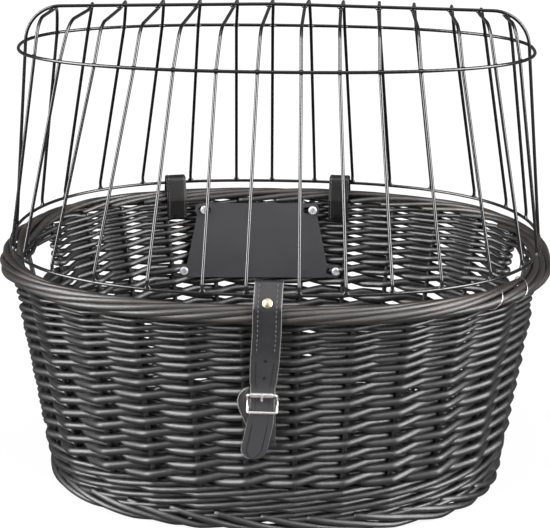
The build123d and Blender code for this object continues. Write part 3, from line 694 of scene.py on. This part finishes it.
def rolled_rod(build, number, half, z, section, turn, start, spaces, d, lead=None, low=None):
    """One rod of a rolled border: it winds round the section while it runs along the border."""
    count = int(spaces * ROLL_POINTS) + 1
    s = np.linspace(start, start + spaces, count)
    share = (s - start) / spaces
    angle, run = ellipse_table(*section)
    first, last = np.interp(np.radians(turn), angle, run)
    eased = share + ROLL_EASE * np.sin(2 * np.pi * share + number)
    at = np.interp(first + (last - first) * eased, run, angle)
    wide = 1 + waves(ROLL_WANDER, number)(share)
    out = section[0] * np.cos(at) * wide
    height = z + section[1] * np.sin(at) * np.minimum(wide, ROLL_HEIGHT_MOST)
    if low is not None:
        height = np.maximum(height, low + d / 2)
    x, y, nx, ny = on_oval(half, shares_of(half, s))
    points = np.stack((x + nx * out, y + ny * out, height), axis=1)
    radii = d / 2 * np.linspace(*ROLL_TAPER_SHARES, count) * (1 + waves(ROLL_GIRTH, number)(share))
    if lead is not None:
        points = np.concatenate((lead, points))
        radii = np.concatenate((np.linspace(STAKE_R, radii[0], len(lead)), radii))
    build.tube(points, radii, sides=12)


rim = Build()
for k in range(STAKES):
    d = RIM_ROD_D + rng.uniform(*RIM_ROD_PLAY)
    spaces = RIM_SPACES + rng.uniform(*RIM_SPACES_PLAY)
    x, y, nx, ny = stake_point(WALL_TOP_Z, k + RIM_LEAD_START)
    lead = [(x, y, RIM_LEAD_Z[0]), (x + nx * RIM_LEAD_OUT, y + ny * RIM_LEAD_OUT, RIM_LEAD_Z[1])]
    rolled_rod(rim, k, RIM_HALF, RIM_Z, RIM_SECTION, RIM_TURN, k + RIM_START, spaces, d, lead=lead)
rim.finish("rim_rods", RIM_WILLOW, "basket", ["rim_border"])

foot = Build()
for k in range(STAKES):
    d = FOOT_ROD_D + rng.uniform(*FOOT_ROD_PLAY)
    spaces = FOOT_SPACES + rng.uniform(*FOOT_SPACES_PLAY)
    rolled_rod(foot, FOOT_FIRST_NUMBER + k, FOOT_HALF, FOOT_Z, FOOT_SECTION, FOOT_TURN,
               k + FOOT_START, spaces, d, low=0.0)
foot.finish("foot_rods", WILLOW, "basket", ["foot_border"])

# Woven base: rods from end to end, over and under six sticks that run from front to back. The marks count
# the sticks, and go on past the first and the last one.
BASE_STICKS_X = (-146.9, -88.2, -29.4, 29.4, 88.2, 146.9)
BASE_END_X, BASE_EDGE_Y = 220.0, 127.5
BASE_MARKS = (-1.2, 0, 1, 2, 3, 4, 5, 6.2)
BASE_HALF = (202.0, 136.0)
BASE_Z = 10.3
STICK_R, STICK_PLAY, STICK_INSET = 2.5, 0.5, 2.0
BASE_RODS, BASE_ROD_R, BASE_ROD_PLAY = 52, 2.5, (0.97, 1.06)

sticks = Build()
for x in BASE_STICKS_X:
    reach = oval_depth(BASE_HALF, x) - STICK_INSET
    spots = [(x + rng.uniform(-STICK_PLAY, STICK_PLAY), y, BASE_Z) for y in np.linspace(-reach, reach, 14)]
    sticks.tube(spots, STICK_R)
sticks.finish("base_stick_rods", WILLOW, "basket", ["base_sticks"])

floor_rods = Build()
for k in range(BASE_RODS):
    y = -BASE_EDGE_Y + 2 * BASE_EDGE_Y * k / (BASE_RODS - 1)
    reach = oval_depth(BASE_HALF[::-1], y)
    x = np.linspace(-reach, reach, 75)
    mark = np.interp(x, (-BASE_END_X, *BASE_STICKS_X, BASE_END_X), BASE_MARKS)
    lift = in_out(mark + k % 2) * (STICK_R + BASE_ROD_R)
    drift = waves(BASE_WANDER, k)((x + BASE_END_X) / (2 * BASE_END_X))
    radius = BASE_ROD_R * rng.uniform(*BASE_ROD_PLAY)
    floor_rods.tube(np.stack((x, y + drift, BASE_Z + lift), axis=1), radius, sides=8, up=(0, 0, 1))
floor_rods.finish("base_rods", WILLOW, "basket", ["base_panel"])

# Leather strips. The edges' radius and the crown's height are shares of a strip's thickness.
ACROSS = np.array([1.0, 0.0, 0.0])
LEATHER_T = 2.0
EDGE_RADIUS_SHARE, CROWN_SHARE = 0.42, 0.06
STITCH_ARCH = (-0.35, 0.05, 0.15, 0.05, -0.35)


def leather_section(width, thick):
    """A strap's section: rounded edges and a slight crown."""
    r = thick * EDGE_RADIUS_SHARE
    spots = []
    for cx, cy, first in ((1, 1, 0), (-1, 1, 90), (-1, -1, 180), (1, -1, 270)):
        for k in range(4):
            a = math.radians(first + 30 * k)
            spots.append((cx * (width / 2 - r) + r * math.cos(a), cy * (thick / 2 - r) + r * math.sin(a)))
        if first in (0, 180):
            for k in range(1, 6):
                x = (width / 2 - r) * (1 - 2 * k / 6) * cx
                crown = CROWN_SHARE * thick * (1 - (2 * x / width) ** 2)
                spots.append((x, cy * (thick / 2 + crown)))
    return np.array(spots)


def strap_mesh(build, path, side, width, thick):
    build.sweep(path, np.broadcast_to(side, path.shape), leather_section(width, thick))


def normals(path, side):
    """The directions square to a strap's path and to its side."""
    up = np.cross(directions(path), np.broadcast_to(side, path.shape))
    return up / np.linalg.norm(up, axis=1)[:, None]


def stitches(build, path, side, across, lift, first, last, stitch):
    """A seam of raised stitches along a path, across from its middle. stitch is pitch, length and radius."""
    pitch, length, radius = stitch
    up = normals(path, side)
    line = path + side * across + up * lift
    run = run_of(line)
    at = first
    while at + length < last:
        marks = np.linspace(at, at + length, len(STITCH_ARCH))
        spots = np.stack([np.interp(marks, run, line[:, k]) for k in range(3)], axis=1)
        lifts = np.stack([np.interp(marks, run, up[:, k]) for k in range(3)], axis=1)
        build.tube(spots + lifts * np.array(STITCH_ARCH)[:, None], radius, sides=6)
        at += pitch


# Hinge loops: up the wall's inner side, over the grille's back wire and down round the rim. The course is
# out from the back wire, and up.
LOOPS = {"left": -112.0, "right": 56.0}
LOOP_COURSE = ((-10.3, 195.5), (-10.3, 215.65), (-5.6, 237.75), (5.6, 237.75),
               (13.5, 218.65), (13.5, 210.55), (5.4, 203.95), (4.6, 195.5))
LOOP_BENDS = (0, 3.0, 3.0, 3.0, 4.0, 3.0, 3.0, 0)
LOOP_W = 20.0
LOOP_SEAM_ACROSS, LOOP_SEAM_LIFT, LOOP_SEAM_ENDS = 7.7, -1.05, 1.5
LOOP_STITCH = (3.6, 2.3, 0.36)

for name, loop_x in LOOPS.items():
    across = oval_way(RING_HALF, loop_x)
    outward = np.array([-across[1], across[0], 0.0])
    origin = np.array([loop_x, oval_depth(RING_HALF, loop_x), 0.0])
    course = rounded(LOOP_COURSE, LOOP_BENDS)
    path = np.array([origin + outward * out + np.array([0, 0, z]) for out, z in course])
    piece = Build()
    strap_mesh(piece, path, across, LOOP_W, LEATHER_T)
    piece.finish(f"leather_loop_{name}", LOOP_LEATHER, "basket", [f"hinge_loop_{name}"])
    seam = Build()
    for edge in (-1, 1):
        stitches(seam, path, across, edge * LOOP_SEAM_ACROSS, LOOP_SEAM_LIFT, LOOP_SEAM_ENDS,
                 run_of(path)[-1] - LOOP_SEAM_ENDS, LOOP_STITCH)
    seam.finish(f"loop_stitches_{name}", STITCH, "basket")

# Closing strap: it hangs from a loose loop round the grille's front wire and leans to one side. The course
# is back and up. Lean, widths, thicknesses and the grooves' lift are given at heights.
STRAP_COURSE = ((-178.4, 225.0), (-171.6, 229.35), (-162.4, 229.35), (-162.6, 243.4), (-168.2, 244.2),
                (-181.4, 226.0), (-170.0, 149.5), (-171.9, 139.0), (-171.95, 125.8), (-165.88, 82.0))
STRAP_BENDS = (0, 2.8, 2.75, 3.0, 3.0, 5.6, 12.0, 12.0, 12.0, 0)
STRAP_LEAN = ((82.0, -9.6), (105.0, -4.6), (126.0, -0.4), (150.0, 0.4), (200.0, 4.2), (230.0, 5.2),
              (250.0, 6.0))
STRAP_WIDTHS = ((82.0, 22.4), (119.0, 22.2), (126.0, 20.6), (151.0, 20.6), (157.0, 22.4), (175.0, 24.0),
                (250.0, 23.4))
STRAP_THICKS = ((119.0, 2.0), (126.0, 1.7), (151.0, 1.7), (157.0, 2.0))
STRAP_W, STRAP_TIP_Z = 22.4, 82.0
STRAP_SEAM_ACROSS, STRAP_SEAM_LIFT, STRAP_SEAM_RUN = 7.6, 1.1, (6.0, 70.0)
STRAP_STITCH = (4.6, 3.0, 0.6)
GROOVE_INSET, GROOVE_START_RUN, GROOVE_R = 4.6, 72.0, 0.55
GROOVE_LIFT = ((112.0, -0.22), (119.0, -0.43), (151.0, -0.43), (157.0, -0.22))
EDGE_INSET, EDGE_OUT_SHARE, EDGE_R = 0.15, 0.35, 0.42


def looked_up(table, z):
    return float(np.interp(z, *zip(*table)))


def strap_path():
    """The strap's middle line, with closer points where its tip is round."""
    course = rounded(STRAP_COURSE, STRAP_BENDS, step=2.0)
    round_z = STRAP_TIP_Z + STRAP_W / 2
    keep = [k for k in range(len(course)) if course[k][1] > round_z or k < len(course) / 2]
    first, last = course[keep[-1]], course[-1]
    tip = [first + (last - first) * math.sin(math.pi / 2 * t) for t in np.linspace(0, 1, 16)[1:]]
    return np.array([(looked_up(STRAP_LEAN, z), y, z) for y, z in np.concatenate((course[keep], tip))])


def strap_half_width(z):
    """Half the strap's width at a height, also where its tip is round."""
    rise = min(1.0, max(0.0, (z - STRAP_TIP_Z) / (STRAP_W / 2)))
    return looked_up(STRAP_WIDTHS, z) / 2 * math.sqrt(max(0.0004, 1 - (1 - rise) ** 2))


path = strap_path()
half_widths = np.array([strap_half_width(z) for z in path[:, 2]])
half_thicks = np.array([looked_up(STRAP_THICKS, z) / 2 for z in path[:, 2]])
flat = leather_section(STRAP_W, LEATHER_T) * (2 / STRAP_W, 2 / LEATHER_T)
closing = Build()
sections = [flat * pair for pair in zip(half_widths, half_thicks)]
closing.sweep(path, np.broadcast_to(ACROSS, path.shape), sections)
closing.finish("closing_strap", LEATHER, "closure", ["closure_strap"])

normal = normals(path, ACROSS)
run = run_of(path)
top = int(np.argmax(path[:, 2]))


def strap_lines(inset, out_share, lift, first, last):
    """A line inside each edge of the strap, raised by a share of its half thickness and a lift."""
    lift = np.broadcast_to(lift, len(path))
    return [[path[k] + ACROSS * edge * max(0.0, half_widths[k] - inset)
             + normal[k] * (half_thicks[k] * out_share + lift[k]) for k in range(first, last)]
            for edge in (-1, 1)]


seam = Build()
first, last = (run[top] + length for length in STRAP_SEAM_RUN)
for edge in (-1, 1):
    stitches(seam, path, ACROSS, edge * STRAP_SEAM_ACROSS, STRAP_SEAM_LIFT, first, last, STRAP_STITCH)
seam.finish("strap_stitches", STITCH, "closure")

# Creased grooves along the strap, drawn as near-black lines lying on its face: their colour is painted shade
# of the grooves.
grooves = Build()
first = int(np.searchsorted(run, run[top] + GROOVE_START_RUN))
sunk = [looked_up(GROOVE_LIFT, z) for z in path[:, 2]]
for line in strap_lines(GROOVE_INSET, 1.0, sunk, first, len(path) - 3):
    grooves.tube(line, GROOVE_R, sides=8)
grooves.finish("strap_grooves", GROOVE_SHADE, "closure")

# Light lines along the strap's edges: the paler cut edge, lightened further as a painted highlight.
edges = Build()
for line in strap_lines(EDGE_INSET, EDGE_OUT_SHARE, 0.0, top - 2, len(path)):
    edges.tube(line, EDGE_R, sides=8)
edges.finish("strap_edges", RAW_EDGE_AND_HIGHLIGHT, "closure")

# Holes punched through the strap, drawn as near-black dished discs with a pressed edge on its front face:
# their colour is painted shade of the holes. A profile is radius and height.
STRAP_HOLE_Z = (160.4, 176.7)
HOLE_MOVE_X, HOLE_OUT, HOLE_AXIS = 0.6, 1.2, (0, -1, -0.14)
HOLE_PROFILE = ((1.5, -0.1), (1.5, 0.1), (1.2, 0.14), (0.9, -0.02), (0.02, -0.03))

holes = Build()
hanging = path[top + 8:]
for z in STRAP_HOLE_Z:
    y = float(np.interp(-z, -hanging[:, 2], hanging[:, 1])) - HOLE_OUT
    holes.lathe((looked_up(STRAP_LEAN, z) + HOLE_MOVE_X, y, z), HOLE_AXIS, HOLE_PROFILE, 18)
holes.finish("strap_hole_shades", HOLE_SHADE, "closure")

# Chape: the leather that holds the buckle, folded round its middle bar. Its inner half bulges out to one
# side behind the buckle, and the bulge is given as height and x of its edge, out from a straight side.
CHAPE_COURSE = ((-162.2, 92.0), (-165.0, 130.8), (-165.29, 135.6), (-165.29, 140.4), (-170.09, 140.4),
                (-170.09, 135.6), (-167.4, 130.8), (-164.7, 98.0))
CHAPE_BENDS = (0, 1.8, 1.8, 2.35, 2.35, 1.8, 1.8, 0)
CHAPE_W, CHAPE_T = 21.6, 1.8
BULGE = ((149.0, -11.2), (146.0, -16.5), (142.0, -19.8), (137.0, -21.2), (131.0, -20.6), (125.0, -18.4),
         (118.0, -15.4), (110.0, -12.6))
BULGE_SIDE_X, BULGE_Y, BULGE_T = -8.0, -166.3, 1.6
BULGE_EDGE_OUT, BULGE_EDGE_R = (-0.1, -0.5), 0.55

chape = Build()
chape_path = np.array([(0.0, y, z) for y, z in rounded(CHAPE_COURSE, CHAPE_BENDS)])
strap_mesh(chape, chape_path, ACROSS, CHAPE_W, CHAPE_T)
bulge_path = np.array([((x + BULGE_SIDE_X) / 2, BULGE_Y, z) for z, x in BULGE])
bulge_sections = [leather_section(1.0, BULGE_T) * (BULGE_SIDE_X - x, 1.0) for z, x in BULGE]
chape.sweep(bulge_path, np.broadcast_to(ACROSS, bulge_path.shape), bulge_sections)
# The bulge's edge line: the paler cut edge, lightened further as a painted highlight.
bulge_edge = Build()
bulge_edge.tube([(x + BULGE_EDGE_OUT[0], BULGE_Y + BULGE_EDGE_OUT[1], z) for z, x in BULGE], BULGE_EDGE_R,
                sides=8)
bulge_edge.finish("chape_edge", RAW_EDGE_AND_HIGHLIGHT, "basket")
chape.finish("chape_leather", LEATHER, "basket", ["buckle_chape"])

# Brass rivet of the strap: a domed cap with a turned rim
RIVET_AT, RIVET_AXIS = (5.1, -179.1, 229.8), (0, -0.851, 0.525)
RIVET_PROFILE = ((1.5, -3.2), (1.5, 1.0), (4.2, 1.05), (4.4, 1.4), (4.1, 1.75), (3.6, 1.9), (2.9, 2.35),
                 (2.0, 2.7), (1.0, 2.88), (0.05, 2.92))

cap = Build()
cap.lathe(RIVET_AT, RIVET_AXIS, RIVET_PROFILE, 32)
cap.finish("brass_rivet", BRASS, "closure", ["closure_rivet"])

# Welds of the grille's wires. Each arch is x and half depth of its feet, x and half depth where it meets the
# shoulder hoop, and x and height where it meets the ridge. A bead is half its length, and its radius.
ARCHES = (((-231.1, 64.8), (-205.7, 50.1), (-199.1, 435.4)),
          ((-214.2, 93.8), (-179.9, 68.6), (-164.6, 437.2)),
          ((-183.9, 122.5), (-147.9, 81.8), (-137.9, 437.8)),
          ((-144.0, 144.1), (-112.9, 90.4), (-103.9, 438.5)),
          ((-96.8, 158.1), (-79.1, 95.3), (-70.1, 439.2)),
          ((-50.1, 164.4), (-43.0, 98.0), (-36.9, 439.8)),
          ((-13.6, 165.9), (-8.5, 98.7), (-5.1, 440.4)),
          ((30.2, 165.5), (27.9, 98.5), (26.1, 440.1)),
          ((69.0, 162.5), (59.9, 97.0), (57.9, 439.4)),
          ((107.0, 155.8), (93.0, 93.6), (91.1, 438.7)),
          ((148.1, 142.4), (127.1, 87.4), (121.1, 438.1)),
          ((190.0, 118.0), (162.1, 76.8), (154.0, 437.5)),
          ((219.0, 87.2), (190.0, 62.7), (179.0, 437.0)),
          ((235.2, 53.4), (212.6, 42.3), (202.1, 434.3)))
FOOT_BEAD, SHOULDER_BEAD, RIDGE_BEAD, RING_END_BEAD = (3.2, 1.5), (3.2, 1.7), (3.0, 1.6), (5.0, 1.9)
FOOT_BEAD_UP, RING_END_BEAD_UP = 1.2, 1.4
SHOULDER_BEAD_SCALE = 1.001

# A toe of weld runs down a foot and out along the hoop: its top's height, its knee and end as along and up,
# the end's play, how far it sags before the end, and its radii.
TOE_TOP_Z, TOE_KNEE, TOE_END, TOE_END_PLAY, TOE_SAG = 4.0, (0.9, 2.5), (2.3, 1.4), 0.3, -0.2
TOE_RADII = (0.9, 1.2, 1.3, 1.25, 1.0)


def raised(height):
    return np.array([0, 0, height])


def bead(build, middle, along, size):
    """A small bead of weld that thins out to both ends."""
    reach, radius = size
    marks = np.linspace(-1, 1, 9)
    build.tube([np.array(middle) + along * reach * t for t in marks],
               radius * np.sqrt(np.maximum(0.02, 1 - marks ** 2)))


def foot_weld(build, foot, along):
    """Weld at a wire's foot: a toe to each side along the hoop, and a bead over both."""
    for toe in (-1, 1):
        top = foot + raised(TOE_TOP_Z)
        knee = foot + along * toe * TOE_KNEE[0] + raised(TOE_KNEE[1])
        reach = TOE_END[0] + rng.uniform(-TOE_END_PLAY, TOE_END_PLAY)
        end = foot + along * toe * reach + raised(TOE_END[1])
        curve = [top, (top + knee) / 2, knee, (knee + end) / 2 + raised(TOE_SAG), end]
        build.tube(curve, TOE_RADII, sides=8)
    bead(build, foot + raised(FOOT_BEAD_UP), along, FOOT_BEAD)


welds = Build()
for (foot_x, foot_y), (x, y), (ridge_x, ridge_z) in ARCHES:
    for side in (-1, 1):
        foot_weld(welds, np.array([foot_x, side * foot_y, RING_Z]), oval_way(RING_HALF, foot_x, side))
        bead(welds, (x * SHOULDER_BEAD_SCALE, side * (y + WIRE_R), SHOULDER_Z),
             oval_way(SHOULDER_HALF, x, side), SHOULDER_BEAD)
    bead(welds, (ridge_x, 0, ridge_z + WIRE_R), ACROSS, RIDGE_BEAD)
for side in (-1, 1):
    bead(welds, (side * RING_HALF[0], 0, RING_Z + RING_END_BEAD_UP), np.array([0, 1, 0]), RING_END_BEAD)
welds.finish("wire_welds", WIRE, "grille")

# Thin tie wire wound round the rim: where it starts, how far one turn takes it along, its half width and
# half height, the angles in degrees between which it winds, and its radius
TIE_X, TIE_STEP_X = 193.0, 21.5
TIE_HALF, TIE_TURN, TIE_R = (10.9, 8.4), (-100, 690), 0.42

tie = Build()
spots = []
for degrees in np.linspace(*TIE_TURN, 110):
    angle = math.radians(degrees)
    x = TIE_X + degrees / 360 * TIE_STEP_X
    along = oval_way(RIM_HALF, x, -1)
    outward = np.array([along[1], -along[0], 0.0])
    middle = np.array([x, -oval_depth(RIM_HALF, x), RIM_Z])
    spots.append(middle + outward * TIE_HALF[0] * math.cos(angle) + raised(TIE_HALF[1] * math.sin(angle)))
tie.tube(spots, TIE_R, sides=8)
tie.finish("tie_wire_loop", TIE, "basket", ["rim_tie"])

# Materials of the source's own nodes
NODE_LOOKS = {"grille_ring": WIRE, "grille_shoulder": WIRE, "grille_ridge": WIRE, "clamp_plate": PLATE,
              "adapter_plate": BRACKET, "plate_screws": ZINC, "plate_washers": ZINC, "plate_nuts": ZINC,
              "buckle_frame": NICKEL, "buckle_roller": NICKEL, "buckle_prong": NICKEL, "hinge_rivets": RIVET,
              "chape_rivet": RIVET}
NODE_LOOKS.update({f"grille_arch_{k:02d}": WIRE for k in range(1, len(ARCHES) + 1)})
for name, look in NODE_LOOKS.items():
    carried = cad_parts[name]
    if carried.material_slots:
        for slot in carried.material_slots:
            slot.material = look
    else:
        carried.data.materials.append(look)

# Floor, light and camera. Places are in metres and angles in degrees. A lamp's azimuth counts from the
# camera's side, positive to the right, and is followed by its elevation, strength and angular size.
FLOOR_REACH, FLOOR_Z = 9.0, -0.0003
FLOOR_GREYS, FLOOR_GLOW = ((0.1, 0.1, 0.1), (0.11, 0.11, 0.11)), 0.88
LAMPS = {"lamp_left_low": (-62, 4, 3.7, 42), "lamp_left_high": (-62, 36, 3.8, 42),
         "lamp_right_low": (60, 4, 3.7, 42), "lamp_right_high": (60, 36, 3.8, 42),
         "lamp_top": (10, 80, 0.8, 50)}
WORLD_LIGHT, WORLD_SEEN = 0.09, 1.0
CAMERA_AT, CAMERA_TILT, CAMERA_YAW = (0.0855, -1.3633, 0.68465), 19.61, 3.6
FOCAL_PX, FRAME_W_PX, SENSOR_W = 1545.7, 550, 36.0


def white_floor():
    """A grey floor that takes soft shadows, and that the camera sees as nearly white."""
    mat, tree, bsdf = shader("floor_pale")
    cloud = noise(tree, placed(tree), 3.0, 2.0)
    link(tree, mixed(tree, cloud, *FLOOR_GREYS), bsdf.inputs["Base Color"])
    bsdf.inputs["Roughness"].default_value = 0.9
    bsdf.inputs["Specular IOR Level"].default_value = 0.0
    rays = node(tree, "ShaderNodeLightPath")
    glow = node(tree, "ShaderNodeEmission", Color=(1, 1, 1, 1))
    link(tree, times(tree, rays.outputs["Is Camera Ray"], FLOOR_GLOW), glow.inputs["Strength"])
    both = node(tree, "ShaderNodeAddShader")
    link(tree, bsdf.outputs[0], both.inputs[0])
    link(tree, glow.outputs[0], both.inputs[1])
    link(tree, both.outputs[0], tree.nodes["Material Output"].inputs["Surface"])
    return mat


def pointed(obj, location, way, axis):
    """Puts an object at a place, with one of its axes along a direction."""
    obj.location = location
    obj.rotation_mode = "QUATERNION"
    obj.rotation_quaternion = way.to_track_quat(axis, "Y")


mesh = bpy.data.meshes.new("studio_floor")
corners = [(x * FLOOR_REACH, y * FLOOR_REACH, FLOOR_Z) for x, y in ((-1, -1), (1, -1), (1, 1), (-1, 1))]
mesh.from_pydata(corners, [], [(0, 1, 2, 3)])
mesh.materials.append(white_floor())
floor = new_object("studio_floor", mesh)

for name, (azimuth, elevation, strength, size) in LAMPS.items():
    lamp = bpy.data.lights.new(name, "SUN")
    lamp.energy = strength
    lamp.angle = math.radians(size)
    a, e = math.radians(azimuth), math.radians(elevation)
    way = Vector((math.sin(a) * math.cos(e), -math.cos(a) * math.cos(e), math.sin(e)))
    pointed(new_object(name, lamp), way * 2, way, "Z")

world = bpy.data.worlds.new("studio")
bpy.context.scene.world = world
world.use_nodes = True
tree = world.node_tree
rays = node(tree, "ShaderNodeLightPath")
seen = node(tree, "ShaderNodeMath", operation="MAXIMUM")
link(tree, rays.outputs["Is Camera Ray"], seen.inputs[0])
link(tree, rays.outputs["Is Transmission Ray"], seen.inputs[1])
back = tree.nodes["Background"]
link(tree, ranged(tree, seen.outputs[0], WORLD_LIGHT, WORLD_SEEN), back.inputs["Strength"])
back.inputs["Color"].default_value = (1, 1, 1, 1)

lens = bpy.data.cameras.new("camera")
lens.sensor_width = SENSOR_W
lens.lens = FOCAL_PX / FRAME_W_PX * SENSOR_W
lens.clip_start, lens.clip_end = 0.05, 50.0
camera = new_object("camera", lens)
t, w = math.radians(CAMERA_TILT), math.radians(CAMERA_YAW)
look = Vector((-math.sin(w) * math.cos(t), math.cos(w) * math.cos(t), -math.sin(t)))
pointed(camera, CAMERA_AT, look, "-Z")
bpy.context.scene.camera = camera
bpy.context.scene.view_settings.view_transform = "Standard"
